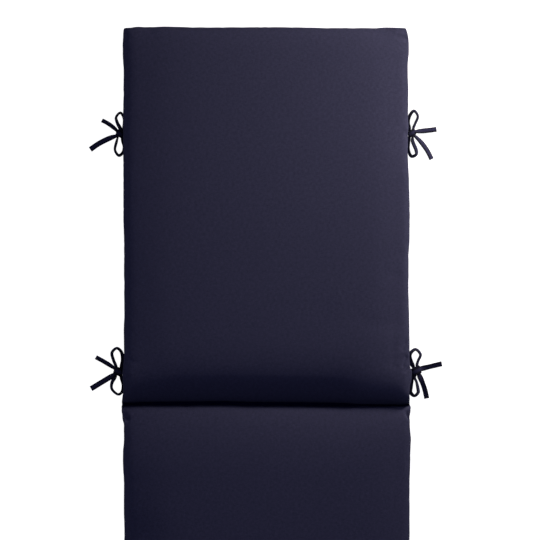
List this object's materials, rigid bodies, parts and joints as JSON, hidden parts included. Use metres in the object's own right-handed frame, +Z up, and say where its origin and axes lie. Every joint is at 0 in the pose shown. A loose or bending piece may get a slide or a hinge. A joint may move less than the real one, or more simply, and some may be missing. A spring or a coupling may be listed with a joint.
{
  "type": "hinged chaise lounge cushion",
  "caption": "Long soft seat pad for a sun lounger, hinged between back and seat, with tie tapes in bows at the sides of the back.",
  "frame": {"origin": "bottom centre of the whole part's box, on the surface it lies on", "axes": "+Y toward the head end, +X to the right of the face seen from above, +Z up out of the face"},
  "size_m": [0.7239, 1.958, 0.0756],
  "materials": {
    "canvas": "plain woven acrylic canvas, deep navy, matt with a faint sheen",
    "tape": "the same canvas folded and stitched into a narrow tape"
  },
  "bodies": {
    "root": {"cushion": "canvas", "tie-left-head": "tape", "tie-right-head": "tape", "tie-left-hinge": "tape", "tie-right-hinge": "tape"}
  },
  "joints": []
}
